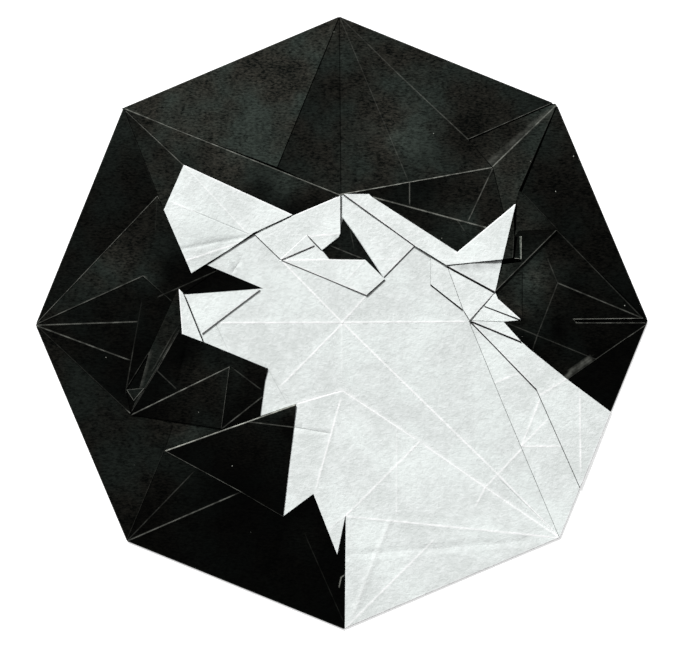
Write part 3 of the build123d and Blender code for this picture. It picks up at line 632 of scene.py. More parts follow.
WHITE_FLAPS = (
    # The snout's shade points paint the shade along its dent
    Flap("snout",
         "snout_top brow_left snout_lip_upper snout_lip_lower snout_low snout_left", Side.WHITE, 2.8,
         turned="snout_top brow_left 0.2",
         creases=marks(CLEAR="snout_top snout_pinch", LIGHT="snout_edge_upper snout_edge_bend",
                       VALLEY="snout_edge_bend snout_pinch", DENT="snout_edge_mid snout_dent_end",
                       BRIGHT="snout_edge_lower snout_fold_end"),
         levels="snout_top 3.2 snout_lip_upper 2.3 snout_lip_lower 2 snout_low 1.8 brow_left 2.7",
         tone=1.07, shaded_tones="snout_shade 0.74 snout_shade_left 0.9",
         painted_shade_peeks="brow_left snout_lip_upper 0.16, snout_lip_upper snout_lip_lower 0.55, "
               "snout_lip_lower snout_low 0.06"),
    Flap("muzzle",
         "brow_mid brow_low nose_top nose_low eye_inner eye_fold muzzle_notch lid_left "
         "lip", Side.WHITE, 1.8,
         turned="brow_mid brow_low 0.2", free="muzzle_notch lid_left 0.8",
         creases=marks(BRIGHT="nose_line_left nose_line_right"),
         levels="brow_mid 2.5 brow_low 2.7 nose_top 2.6 nose_low 2.4 eye_fold 2.3 muzzle_notch 1.8 "
                "lid_left 1.5 lip 1.5", tone=1.05,
         painted_shade_peeks="nose_top nose_low 0.15, lip lid_left 0.1, muzzle_notch eye_fold 0.12"),
    Flap("upper_lid", "muzzle_notch lid_corner lid_left", Side.WHITE, 2.1,
         turned="lid_corner lid_left 0.3", painted_shade_peeks="lid_corner lid_left 0.15",
         laps="muzzle_notch lid_left 0.08"),
    Flap("inner_lid", "lid_left lid_corner eye_fold lid_mid", Side.WHITE, 0.8,
         turned="lid_corner lid_left 0.3", laps="lid_left lid_mid 0.3"),
    Flap("lower_lid", "lid_left lid_mid lid_right lid_outer lid_low", Side.WHITE, 1.4,
         turned="lid_low lid_left 0.3", free="lid_left lid_mid 0.8, lid_mid lid_right 0.8",
         creases=marks(CLEAR="lid_right lid_crease"), levels="lid_low 2.6 lid_outer 2.2 lid_left 1.8",
         painted_shade_peeks="lid_low lid_left 0.08, lid_outer lid_low 0.12"),
    Flap("cheek_flap", "cheek_top cheek_right eye_outer eye_side eye_top", Side.WHITE, 1.6,
         turned="cheek_right eye_outer 0.3", creases=marks(LIGHT="cheek_line_left cheek_line_right"),
         tone=1.04, painted_shade_peeks="cheek_right eye_outer 0.14"),
    Flap("brow_and_ear",
         "brow_start brow_end crown ear_root ear_tip ear_out ear_in cheek_right", Side.WHITE, 2.6,
         turned="cheek_right brow_start 0.3, ear_root ear_tip 0.2",
         creases=marks(LIGHT="brow_line_left brow_line_right"),
         levels="ear_tip 3.6 ear_out 5 ear_in 4.4 cheek_right 3.2", tone=1.04,
         painted_shade_peeks="ear_in cheek_right 0.12, cheek_right brow_start 0.12", laps="ear_out ear_in -0.2"),
    # The dusk points paint the shadow that the ear's fold casts on the lobe
    Flap("ear_lobe", "ear_in ear_out ear_base", Side.WHITE, 2.2,
         turned="ear_in ear_base 0.2", creases=marks(HOLLOW="ear_in ear_out"),
         levels="ear_in 3 ear_base 3.7", tone=1.06,
         shaded_tones="ear_dusk_left 0.6 ear_dusk 0.6 ear_dusk_right 0.6 ear_light_left 1.06 ear_light 1.06 "
               "ear_light_right 1.06", painted_shade_peeks="ear_in ear_base 0.3"),
    Flap("ruff", "ear_in ear_base hub ruff_low", Side.WHITE, 1.8,
         turned="ear_base hub 0.3", levels="ear_base 2.4 hub 2.9 ruff_low 2", tone=1.04,
         painted_shade_peeks="ear_base hub 0.1, ruff_low hub 0.06, ruff_low ear_in -0.025"),
    Flap("ruff_side", "ruff_top ear_in ruff_low ruff_left", Side.WHITE, 1.6,
         levels="ruff_low 2", tone=1.02, painted_shade_peeks="ruff_left ruff_low 0.2, ruff_top ruff_left -0.025"),
    Flap("first_spike", "spike_crease spike_tip spike_notch hub", Side.WHITE, 1.3,
         levels="hub 1.1", tone=1.1),
    Flap("spike_fold", "spike_crease ear_base spike_root spike_tip", Side.WHITE, 2.5,
         turned="spike_root spike_tip 0.2", levels="spike_crease 2.3 ear_base 1.9", tone=1.1,
         painted_shade_peeks="spike_tip spike_crease 0.17"),
    Flap("second_spike", "hub spike_notch second_tip", Side.WHITE, 3.6,
         turned="second_tip hub 0.3", levels="hub 4.2", tone=1.06, painted_shade_peeks="second_tip hub 0.25"),
    Flap("back_flap", "hub second_tip mane pleat_end back_top back_low neck_knee", Side.WHITE, 1.9,
         turned="back_top back_low 0.3, neck_knee hub 0.3",
         creases=marks(BRIGHT="neck_knee back_tick, back_crease_top back_crease_low"),
         levels="hub 3.1 neck_knee 3 back_low 2.7 second_tip 2.6 mane 2.6 pleat_end 2.5",
         painted_shade_peeks="neck_knee hub 0.17, back_low neck_knee 0.56", laps="back_low neck_knee 0.45"),
    Flap("neck_strip", "hub neck_knee back_low se neck_low neck_left", Side.WHITE, 1.5,
         turned="back_low se 0.3",
         creases=marks(BRIGHT="neck_low neck_star_upper, neck_low neck_star_mid, neck_low neck_star_right, "
                              "neck_left neck_tick"), levels="neck_left 1.6 se 1.4",
         painted_shade_peeks="neck_left hub 0.21, neck_low neck_left 0.21, se neck_low 0.11",
         laps="neck_left hub 0.15, neck_low neck_left 0.15, se neck_low 0.05"),
    Flap("jaw_point", "jaw_top jaw_end jaw_fold", Side.WHITE, 2.2,
         turned="jaw_end jaw_fold 0.3", levels="jaw_top 1.6", painted_shade_peeks="jaw_end jaw_fold 0.06"),
    Flap("jaw_front", "jaw_tip jaw_top jaw_in jaw_low", Side.WHITE, 2.4,
         turned="jaw_low jaw_tip 0.3", creases=marks(FAINT="jaw_line_left jaw_line_right"),
         levels="jaw_in 2.6 jaw_top 3", painted_shade_peeks="jaw_top jaw_in 0", laps="jaw_top jaw_in -0.2"),
    Flap("chest_flap",
         "chest_left chest_top chest_right chest_low se_in s_in fur_root fur_second fur_notch fur_first "
         "bib_top", Side.WHITE, 1.2,
         turned="chest_left chest_top 0.6, se_in s_in 0.3",
         free="chest_top chest_right 0.8, chest_right chest_low 0.8, chest_low se_in 0.5",
         creases=marks(BRIGHT="fur_root se, s hem_crease, chest_right fur_root, "
                              "fur_crease_top fur_crease_low, chest_low chest_tail",
                       SOFT="hem_start hem_bend, hem_bend hem_top",
                       LIGHT="fur_root fur_line, chest_crease_top chest_crease_low",
                       VALLEY="bib_top bib_line", HOLLOW="hem_left hem_bend, hem_bend se_in",
                       RUBBED=CHEST_EDGE),
         levels="chest_left 0.6 chest_top 0.6 chest_right 0.6 chest_low 0.6 fur_second 1.4 fur_notch 1.4 "
                "fur_first 1.4"),
)

# Brightness of the back of the sheet, and of the black reverse whose strips beside a white flap paint lines
# of shade
BACK_TONE = 1.0
REVERSE_TONE = 0.3
# The black back of the sheet, and the white part of it that the flaps leave open
BASE = Flap("base", " ".join(CORNERS), Side.BLACK, 0, creases=marks(LIGHT="n s, e w, ne sw, nw se"),
            tone=0.1, still=True)
GROUND = Flap(
    "ground",
    "roof mouth jaw_top jaw_tip jaw_low jaw_in chin throat_upper throat throat_right bib_top fur_first "
    "fur_notch fur_second fur_root s_in se_in se back_low back_top pleat_end mane second_tip spike_notch "
    "spike_tip spike_root ear_base ear_out ear_tip ear_root crown brow_end nose_top brow_low brow_mid "
    "brow_left snout_lip_upper snout_lip_lower", Side.WHITE, 0.5,
    creases=marks(BRIGHT="centre lid_low, centre lid_left, centre star_left, centre hub_line, "
                         "centre_low star_low, centre star_back, star_back se, neck_cross chest_low",
                  VALLEY="star_dusk se, chin chin_line, cheek_tick_top cheek_tick_low, nick_top nick_low",
                  FAINT="centre star_down", RUBBED=CHEST_EDGE), tone=0.955,
    laps="snout_lip_lower roof 0.3", still=True)


def linear(hex_colour: str) -> tuple[float, float, float, float]:
    """Turns an sRGB hex colour into linear colour.

    Args:
        hex_colour: Six hex digits after a hash.

    Returns:
        Red, green, blue and alpha.
    """
    channels = [int(hex_colour[place:place + 2], 16) / 255 for place in (1, 3, 5)]
    levels = [level / 12.92 if level <= 0.04045 else ((level + 0.055) / 1.055) ** 2.4 for level in channels]
    return (*levels, 1.0)


def add_node(material: Material, kind: str, settings: Optional[dict] = None,
             sockets: Optional[dict] = None) -> Node:
    """Adds a node to a material, with its settings and links.

    Args:
        material: The material that gets the node.
        kind: The node's type name, without the words that all shader nodes start with.
        settings: Values of the node's own properties.
        sockets: Values of its inputs, by name or number: an output socket is linked, anything else is set.

    Returns:
        The new node.
    """
    node = material.node_tree.nodes.new("ShaderNode" + kind)
    for name, value in (settings or {}).items():
        setattr(node, name, value)
    for name, value in (sockets or {}).items():
        if isinstance(value, NodeSocket):
            material.node_tree.links.new(value, node.inputs[name])
        else:
            node.inputs[name].default_value = value
    return node


def blank_material(name: str) -> Material:
    """Adds a material with an empty node tree.

    Args:
        name: Name of the material.

    Returns:
        The new material.
    """
    material = bpy.data.materials.new(name)
    material.use_nodes = True
    material.node_tree.nodes.clear()
    return material


@dataclass(frozen=True)
class PaperFinish:
    """Uncoated two-colour craft paper, dyed on one side.

    The eye sees a matt sheet with a faint cloudiness, short fibres, and pale lines where folds have cracked
    the colour on the black side; the folds of the white side, and some ridges on both, get a painted
    highlight.

    Attributes:
        name: Name of the material.
        dark: Colour in the hollows of the fibre mat.
        pale: Colour on its crests.
        tint: Colour that the crests drift to in patches.
        worn_and_lit: Colour that shows where a crease is worn, and on the white side its painted highlight.
        wear_and_highlight_gain: How much of the wear and painted highlight on a crease shows.
        mark_breaks: How unevenly it shows along the crease, from 0 to 1.
        speck: Radius of a speck of dust, as a share of the distance between specks.
        roughness: Roughness of the sheet.
        specular: Specular level of the sheet.
        grain: How many times longer than wide the fibre bundles lie.
        bump_mm: Height of the fibre mat.
        mottle: Weight of the clouds and patches beside the fibres.
        spread: Half the range of the mat over which the colour goes from dark to pale.
        fibre_mm: Length of a fibre bundle, drawn coarser than a single fibre so that it shows.
        fibre_weight: Weight of the fibres in the mat.
        fibre_turn: Direction that the fibres lie in, in radians.
        patch_mm: Size of the broad patches.
        patch_weight: Weight of the patches beside the clouds.
        cloud_mm: Size of the clouds in the sheet's formation.
        dust_mm: Distance between specks.
        dust_core: Share of that radius that is whole before the speck fades.
        drift: Patch values between which the crests go over to the tint.
        broken: Cloud values between which the wear and painted highlight go from their least to their most.
        relief: Strength of the fibre mat in the light.
    """

    name: str
    dark: str
    pale: str
    tint: str
    worn_and_lit: str
    wear_and_highlight_gain: float
    mark_breaks: float
    speck: float
    roughness: float
    specular: float
    grain: float
    bump_mm: float
    mottle: float
    spread: float
    fibre_mm: float = 0.7
    fibre_weight: float = 1.2
    fibre_turn: float = 0.12
    patch_mm: float = 11.0
    patch_weight: float = 1.4
    cloud_mm: float = 2.0
    dust_mm: float = 4.2
    dust_core: float = 0.5
    drift: tuple[float, float] = (0.42, 0.58)
    broken: tuple[float, float] = (0.4, 0.6)
    relief: float = 0.7

    def build(self) -> Material:
        """Makes the paper.

        Returns:
            A node material.
        """
        material = blank_material(self.name)
        coords = add_node(material, "TexCoord").outputs["Object"]
        patch, cloud, mat = self.add_mat(material, coords)
        colour = self.add_wear_and_highlight(material, coords, cloud, self.add_sheet(material, patch, mat))
        bump = add_node(material, "Bump", None,
                        {"Height": mat, "Strength": self.relief, "Distance": self.bump_mm * MM})
        surface = add_node(material, "BsdfPrincipled", None,
                           {"Base Color": colour, "Normal": bump.outputs[0], "Roughness": self.roughness,
                            "Specular IOR Level": self.specular})
        add_node(material, "OutputMaterial", None, {"Surface": surface.outputs[0]})
        return material

    def add_mat(self, material: Material, coords: NodeSocket) -> tuple[NodeSocket, ...]:
        """Adds the fibre mat, made of patches, clouds and fibres.

        Args:
            material: The material that gets the nodes.
            coords: Places on the sheet.

        Returns:
            The patches, the clouds and the whole mat.
        """
        drawn = add_node(material, "Mapping", None,
                         {"Vector": coords, "Rotation": (0.0, 0.0, self.fibre_turn),
                          "Scale": (1.0, self.grain, 1.0)})
        patch = add_node(material, "TexNoise", None,
                         {"Vector": coords, "Scale": 1 / (self.patch_mm * MM), "Detail": 2.0}).outputs[0]
        cloud = add_node(material, "TexNoise", None,
                         {"Vector": coords, "Scale": 1 / (self.cloud_mm * MM), "Detail": 4.0,
                          "Roughness": 0.6}).outputs[0]
        fibre = add_node(material, "TexNoise", None,
                         {"Vector": drawn.outputs[0], "Scale": 1 / (self.fibre_mm * MM), "Detail": 3.0,
                          "Roughness": 0.6, "Distortion": 0.4}).outputs[0]
        weight = self.patch_weight * self.mottle
        broad = add_node(material, "Math", {"operation": "MULTIPLY_ADD"},
                         {0: patch, 1: weight, 2: -weight / 2})
        uneven = add_node(material, "Math", {"operation": "MULTIPLY_ADD"},
                          {0: cloud, 1: self.mottle, 2: broad.outputs[0]})
        mat = add_node(material, "Math", {"operation": "MULTIPLY_ADD"},
                       {0: fibre, 1: self.fibre_weight, 2: uneven.outputs[0]})
        return patch, cloud, mat.outputs[0]

    def add_sheet(self, material: Material, patch: NodeSocket, mat: NodeSocket) -> NodeSocket:
        """Adds the colour of the sheet before wear, with each flap's tone and its painted sheen and shade.

        Args:
            material: The material that gets the nodes.
            patch: The broad patches.
            mat: The fibre mat.

        Returns:
            The colour.
        """
        middle = (self.fibre_weight + self.mottle) / 2
        level = add_node(material, "MapRange", None,
                         {"Value": mat, "From Min": middle - self.spread, "From Max": middle + self.spread})
        drift = add_node(material, "MapRange", None,
                         {"Value": patch, "From Min": self.drift[0], "From Max": self.drift[1]})
        crest = add_node(material, "Mix", {"data_type": "RGBA"},
                         {"Factor": drift.outputs[0], "A": linear(self.pale), "B": linear(self.tint)})
        sheet = add_node(material, "Mix", {"data_type": "RGBA"},
                         {"Factor": level.outputs[0], "A": linear(self.dark), "B": crest.outputs["Result"]})
        tone = add_node(material, "Attribute", {"attribute_name": "tone"})
        toned = add_node(material, "Mix", {"data_type": "RGBA", "blend_type": "MULTIPLY"},
                         {"Factor": 1.0, "A": sheet.outputs["Result"], "B": tone.outputs["Color"]})
        return toned.outputs["Result"]

    def add_wear_and_highlight(self, material: Material, coords: NodeSocket, cloud: NodeSocket,
                 sheet: NodeSocket) -> NodeSocket:
        """Adds worn creases, painted highlights on the white side's creases, and dust to the colour of the
        sheet.

        Args:
            material: The material that gets the nodes.
            coords: Places on the sheet.
            cloud: The clouds that break the wear and painted highlight up.
            sheet: The colour before wear.

        Returns:
            The colour that is seen.
        """
        speck = add_node(material, "TexVoronoi", {"feature": "F1"},
                         {"Vector": coords, "Scale": 1 / (self.dust_mm * MM), "Randomness": 1.0})
        dust = add_node(material, "MapRange", None,
                        {"Value": speck.outputs["Distance"], "From Min": self.speck,
                         "From Max": self.speck * self.dust_core})
        wear = add_node(material, "Attribute", {"attribute_name": "wear"})
        broken = add_node(material, "MapRange", None,
                          {"Value": cloud, "From Min": self.broken[0], "From Max": self.broken[1],
                           "To Min": self.wear_and_highlight_gain * (1 - self.mark_breaks),
                           "To Max": self.wear_and_highlight_gain * (1 + self.mark_breaks)})
        shown_wear_and_highlight = add_node(material, "Math", {"operation": "MULTIPLY"},
                          {0: wear.outputs["Fac"], 1: broken.outputs[0]})
        paled = add_node(material, "Math", {"operation": "MAXIMUM", "use_clamp": True},
                        {0: shown_wear_and_highlight.outputs[0], 1: dust.outputs[0]})
        colour = add_node(material, "Mix", {"data_type": "RGBA"},
                          {"Factor": paled.outputs[0], "A": sheet, "B": linear(self.worn_and_lit)})
        return colour.outputs["Result"]


# Dyed side: a matt near-black with faint clouds, grey where folds have cracked it, pale bands painted along
# some ridges as highlights, and a little lint
BLACK_PAPER = PaperFinish(
    "black_craft_paper", dark="#060807", pale="#302F2A", tint="#2B312D", worn_and_lit="#ABADA4", wear_and_highlight_gain=1.0,
    mark_breaks=0.5, speck=0.03, roughness=0.7, specular=0.02, grain=2.2, bump_mm=0.065, mottle=0.42,
    spread=0.24)
# Undyed side: cool white with a fine tooth, whose folds get a painted highlight where they catch the light
WHITE_PAPER = PaperFinish(
    "white_craft_paper", dark="#DADFDD", pale="#EEF2F1", tint="#ECF2F0", worn_and_lit="#FFFFFF", wear_and_highlight_gain=2.4,
    mark_breaks=0.25, speck=0.0, roughness=0.8, specular=0.1, grain=1.2, bump_mm=0.11, mottle=1.1,
    spread=0.32)


@dataclass(frozen=True)
class CreasePattern:
    """Turns the named points of the picture into places on the sheet."""

    radius: float = CORNER_RADIUS

    def place(self, name: str) -> tuple[float, float]:
        """Finds a named point.

        Args:
            name: A corner, a rim point or a fold point.

        Returns:
            Its place from the centre of the octagon.
        """
        if name in CORNERS:
            angle = math.radians(CORNERS[name])
            return self.radius * math.cos(angle), self.radius * math.sin(angle)
        if name in RIM_POINTS:
            first, second, share = RIM_POINTS[name]
            (ax, ay), (bx, by) = self.place(first), self.place(second)
            return ax + (bx - ax) * share, ay + (by - ay) * share
        scale = self.radius / SEEN_RADIUS
        across = (SEEN[name][0] - SEEN_CENTRE[0]) * scale
        up = (SEEN_CENTRE[1] - SEEN[name][1]) * scale
        turn = math.radians(-SEEN_TURN)
        return (across * math.cos(turn) - up * math.sin(turn), across * math.sin(turn) + up * math.cos(turn))

    def ordered(self, outline: str) -> list[str]:
        """Puts the points of an outline in anticlockwise order, as seen from above.

        Args:
            outline: Names of the points, either way round.

        Returns:
            The names.
        """
        names = outline.split()
        points = [self.place(name) for name in names]
        area = sum(ax * by - bx * ay for (ax, ay), (bx, by) in zip(points, points[1:] + points[:1]))
        return names if area > 0 else names[::-1]

    def edge(self, first: str, second: str) -> tuple[np.ndarray, np.ndarray, np.ndarray]:
        """Finds a line between two named points.

        Args:
            first: Point where it starts.
            second: Point where it ends.

        Returns:
            Its start, its direction and the direction to its left.
        """
        start = np.array(self.place(first))
        along = np.array(self.place(second)) - start
        along /= np.linalg.norm(along)
        return start, along, np.array((-along[1], along[0]))


@dataclass
class FoldedSheet:
    """The whole sheet, built flap by flap.

    Attributes:
        pattern: Places of the named points.
        paper: Thickness of the sheet.
        air: Spring between two layers.
        bend: Outside radius of a fold.
        play: Half the slit between two flaps that meet.
        tuck: How far the reverse of a flap stays behind an edge that hides it.
        reverse_drop: How many layers the reverse lies below the flap.
        grid: Spacing of the mesh lines across a flap.
        short_crease: Length below which a crease gets mesh lines of its own across it.
        ripple: Height of the sheet's slow waves.
        ripple_length: Length of those waves.
        ease: Distance from a fold within which waves and creases die out.
        hold: Distance from a named point within which its own value holds.
        edge_mark_reach: How far the wear and painted highlight of an edge reach in.
        white_spread: How much wider a crease and its painted highlight are on the white side.
        arc_steps: Mesh steps in a quarter of a bend.
        touch: Distance within which a mesh line counts as lying on a fold.
        cut_gap: Distance within which a cut runs through a mesh point.
        smooth_angle: Angle in degrees up to which faces are shaded as one.
    """

    pattern: CreasePattern = field(default_factory=CreasePattern)
    paper: float = 0.14 * MM
    air: float = 0.06 * MM
    bend: float = 0.12 * MM
    play: float = 0.05 * MM
    tuck: float = 0.16 * MM
    reverse_drop: float = 0.65
    grid: float = 1.6 * MM
    short_crease: float = 5.0 * MM
    ripple: float = 0.07 * MM
    ripple_length: float = 11.0 * MM
    ease: float = 3.0 * MM
    hold: float = 0.2 * MM
    edge_mark_reach: float = 0.13 * MM
    white_spread: float = 1.5
    arc_steps: int = 3
    touch: float = 0.002 * MM
    cut_gap: float = 0.0001 * MM
    smooth_angle: float = 35.0

    @property
    def pitch(self) -> float:
        """Height of one layer."""
        return self.paper + self.air

    def inset(self, edge: Fold) -> float:
        """Returns how far a flap is drawn in at one of its folds."""
        return self.bend if edge.turns else self.play

    def outline(self, flap: Flap) -> list[tuple[float, float]]:
        """Finds a flap's corners, drawn in at its folds and by the play elsewhere.

        Args:
            flap: The flap.

        Returns:
            The corners, anticlockwise.
        """
        names = self.pattern.ordered(flap.outline)
        turning = {frozenset((one.first, one.second)): self.bend for one in flap.folds if one.turns}
        shade_reach, lapping = margins(flap.painted_shade_peeks), margins(flap.laps)
        lines = []
        for name, following in zip(names, names[1:] + names[:1]):
            start, along, inward = self.pattern.edge(name, following)
            pair = frozenset((name, following))
            front = turning.get(pair, -lapping.get(pair, -self.play))
            # A reverse is put out past its flap's edge where a line of painted shade is wanted
            inset = -shade_reach.get(pair, -self.tuck) if flap.reverse else front
            lines.append((start + inward * inset, along))
        corners = []
        for (before, along_before), (after, along_after) in zip(lines[-1:] + lines[:-1], lines):
            gap = after - before
            cross = along_before[0] * along_after[1] - along_before[1] * along_after[0]
            reach = (gap[0] * along_after[1] - gap[1] * along_after[0]) / cross
            corners.append(tuple(before + along_before * reach))
        return corners

    def blend(self, values: dict[str, float], points: np.ndarray) -> np.ndarray:
        """Blends values given at named points over other points, the nearest counting most.

        Args:
            values: A value for each named point.
            points: Where the blend is wanted.

        Returns:
            One value for each of those points.
        """
        anchors = np.array([self.pattern.place(name) for name in values])
        squares = ((points[:, None, :] - anchors[None, :, :]) ** 2).sum(axis=2)
        weights = 1 / (squares + self.hold ** 2)
        return (weights * np.array(list(values.values()))).sum(axis=1) / weights.sum(axis=1)

    def inward_of(self, flap: Flap, edge: Fold) -> tuple[np.ndarray, np.ndarray]:
        """Finds which way a flap lies from one of its folds.

        Args:
            flap: The flap.
            edge: One of its folds.

        Returns:
            A point on the fold and the direction from it into the flap.
        """
        names = self.pattern.ordered(flap.outline)
        first, second = edge.first, edge.second
        if names[(names.index(first) + 1) % len(names)] != second:
            first, second = second, first
        start, _, inward = self.pattern.edge(first, second)
        return start, inward

    def distance(self, points: np.ndarray, first: str, second: str) -> np.ndarray:
        """Measures how far points lie from a line between two named points.

        Args:
            points: The points.
            first: Where the line starts.
            second: Where it ends.

        Returns:
            One distance for each point.
        """
        start = np.array(self.pattern.place(first))
        along = np.array(self.pattern.place(second)) - start
        share = np.clip(((points - start) @ along) / (along @ along), 0.0, 1.0)
        return np.linalg.norm(points - start - share[:, None] * along, axis=1)

    def start_polygon(self, name: str, corners: list[tuple[float, float]]) -> Object:
        """Adds a filled polygon and leaves it in edit mode, facing up.

        Args:
            name: Name of the new object.
            corners: Its corner points, anticlockwise.

        Returns:
            The new object.
        """
        bpy.ops.object.select_all(action="DESELECT")
        bpy.ops.mesh.primitive_circle_add(vertices=len(corners), radius=CORNER_RADIUS, fill_type="NGON")
        piece = bpy.context.object
        piece.name = name
        for vertex, (x, y) in zip(piece.data.vertices, corners):
            vertex.co = (x, y, 0.0)
        piece.data.update()
        bpy.ops.object.mode_set(mode="EDIT")
        bpy.ops.mesh.select_all(action="SELECT")
        if piece.data.polygons[0].normal.z < 0:
            bpy.ops.mesh.flip_normals()
        return piece

    def cut(self, start: np.ndarray, normal: np.ndarray) -> None:
        """Cuts the polygon being edited along the line through a point, square to a direction."""
        bpy.ops.mesh.select_all(action="SELECT")
        bpy.ops.mesh.bisect(plane_co=(start[0], start[1], 0.0), plane_no=(normal[0], normal[1], 0.0),
                            threshold=self.cut_gap)

    def reach(self, flap: Flap, mark: Mark) -> float:
        """Returns the half width of a crease, which is wider where it carries a painted highlight on the
        white side.
        """
        return mark.half_width * (self.white_spread if flap.side is Side.WHITE and mark.spreads else 1.0)

    def edge_reach(self, flap: Flap) -> float:
        """Returns how far the wear and painted highlight of an edge reach into a flap."""
        return self.edge_mark_reach * (self.white_spread if flap.side is Side.WHITE else 1.0)

    def score(self, flap: Flap, corners: list[tuple[float, float]]) -> None:
        """Cuts a flap along its creases, its worn edges and a square grid.

        Args:
            flap: The flap, whose polygon is being edited.
            corners: Its corner points.
        """
        for line in flap.creases:
            start, along, aside = self.pattern.edge(line.first, line.second)
            end = np.array(self.pattern.place(line.second))
            if np.linalg.norm(end - start) < self.short_crease:
                for across in (start, (start + end) / 2, end):
                    self.cut(across, along)
            for share in line.mark.cuts:
                self.cut(start + aside * self.reach(flap, line.mark) * share, aside)
        for edge in flap.folds:
            start, inward = self.inward_of(flap, edge)
            self.cut(start + inward * (self.inset(edge) + self.edge_reach(flap)), inward)
        low, high = np.min(corners, axis=0), np.max(corners, axis=0)
        for axis, normal in enumerate((np.array((1.0, 0.0)), np.array((0.0, 1.0)))):
            first = math.floor(low[axis] / self.grid) + 1
            last = math.ceil(high[axis] / self.grid)
            for step in range(first, last):
                self.cut(normal * step * self.grid, normal)

    def shape(self, flap: Flap, piece: Object) -> None:
        """Gives a scored flap its heights, and as attributes its wear with painted highlights and its tone
        with painted sheen and shade.

        Args:
            flap: The flap.
            piece: Its object.
        """
        mesh = piece.data
        places = np.empty(len(mesh.vertices) * 3)
        mesh.vertices.foreach_get("co", places)
        places = places.reshape(-1, 3)
        points = places[:, :2]
        heights = self.blend(flap.known(flap.layer, flap.levels), points) * self.pitch + self.paper
        wear = np.zeros(len(points))
        shade = np.zeros(len(points))
        rise = np.ones(len(points))
        for edge in flap.folds:
            gap = self.distance(points, edge.first, edge.second) - self.inset(edge)
            wear = np.maximum(wear, edge.wear * np.clip(1 - gap / self.edge_reach(flap), 0, 1))
            if edge.turns:
                rise = np.minimum(rise, np.clip(gap / self.ease, 0, 1))
        for line in flap.creases:
            gap = self.distance(points, line.first, line.second) / self.reach(flap, line.mark)
            bell = np.clip(1 - gap, 0, 1)
            heights += line.mark.height * bell * rise
            wear = np.maximum(wear, line.mark.wear * bell)
            shade = np.maximum(shade, line.mark.shade * bell)
        if not flap.still:
            heights += self.waves(flap, points) * rise
        places[:, 2] = heights
        mesh.vertices.foreach_set("co", places.ravel())
        # The tone carries painted sheen and shade, and shaded creases darken it further with painted shade
        tone = self.blend(flap.known(flap.tone, flap.shaded_tones), points) * (1 - shade)
        for name, values in (("wear", wear), ("tone", tone)):
            mesh.attributes.new(name, "FLOAT", "POINT").data.foreach_set("value", values.astype(np.float32))
        mesh.update()

    def waves(self, flap: Flap, points: np.ndarray) -> np.ndarray:
        """Finds the slow waves of a flap, which its reverse shares.

        Args:
            flap: The flap.
            points: Places on it.

        Returns:
            One height for each place.
        """
        seed = float(sum(ord(letter) for letter in flap.outline))
        scaled = points / self.ripple_length
        return self.ripple * np.array([noise.noise(Vector((x, y, seed))) for x, y in scaled])

    def turn_over(self, flap: Flap, edge: Fold) -> None:
        """Carries the sheet round one fold, from the flap's top down to the layer that it came from.

        Args:
            flap: The flap being edited.
            edge: One of its folds.
        """
        start, inward = self.inward_of(flap, edge)
        mesh = bmesh.from_edit_mesh(bpy.context.object.data)
        bpy.ops.mesh.select_all(action="DESELECT")
        bpy.ops.mesh.select_mode(type="EDGE")
        for line in mesh.edges:
            offsets = [(vertex.co.x - start[0]) * inward[0] + (vertex.co.y - start[1]) * inward[1]
                       for vertex in line.verts]
            gap = max(abs(offset - self.bend) for offset in offsets)
            line.select_set(line.is_boundary and gap < self.touch)
        bmesh.update_edit_mesh(bpy.context.object.data)
        steps = []
        for step in range(self.arc_steps):
            near, far = (math.pi / 2 * (step + add) / self.arc_steps for add in (0, 1))
            steps.append((math.sin(far) - math.sin(near), math.cos(near) - math.cos(far)))
        for out, down in steps:
            self.carry_on(inward, self.bend * out, self.bend * down)
        on_rim = all(name in CORNERS or name in RIM_POINTS for name in (edge.first, edge.second))
        self.carry_on(inward, 0.0, 0.0)
        self.lower_to(self.bend if on_rim else self.paper)
        if on_rim:
            for out, down in steps:
                self.carry_on(inward, -self.bend * down, self.bend * out)

    @staticmethod
    def carry_on(inward: np.ndarray, out: float, down: float) -> None:
        """Extrudes the selected edge of the sheet outwards from the flap and down."""
        step = (-inward[0] * out, -inward[1] * out, -down)
        bpy.ops.mesh.extrude_edges_move(TRANSFORM_OT_translate={"value": step})

    @staticmethod
    def lower_to(height: float) -> None:
        """Brings the selected edge of the sheet down.

        Args:
            height: Where it comes to lie, unless it lies lower already.
        """
        mesh = bmesh.from_edit_mesh(bpy.context.object.data)
        for vertex in mesh.verts:
            if vertex.select:
                vertex.co.z = min(vertex.co.z, height)
        bmesh.update_edit_mesh(bpy.context.object.data)

    def thicken(self, piece: Object, flap: Flap) -> None:
        """Gives a flap the thickness of the paper, with the sheet's other colour underneath.

        Args:
            piece: The flap's object.
            flap: The flap.
        """
        # Slot 0 holds the black paper and slot 1 the white
        up, under = (0, 1) if flap.side is Side.BLACK else (1, 0)
        if flap is BASE:
            under = up
        piece.data.polygons.foreach_set("material_index", [up] * len(piece.data.polygons))
        wall = piece.modifiers.new("paper", "SOLIDIFY")
        wall.thickness = self.paper
        wall.offset = -1.0
        wall.material_offset = under - up
        wall.material_offset_rim = 0
        bpy.ops.object.modifier_apply(modifier=wall.name)
        if flap is BASE:
            shaded_tones, worn_and_lit = (piece.data.attributes[name].data for name in ("tone", "wear"))
            for vertex in piece.data.vertices:
                if vertex.normal.z < 0:
                    shaded_tones[vertex.index].value = BACK_TONE
                else:
                    worn_and_lit[vertex.index].value = 0.0

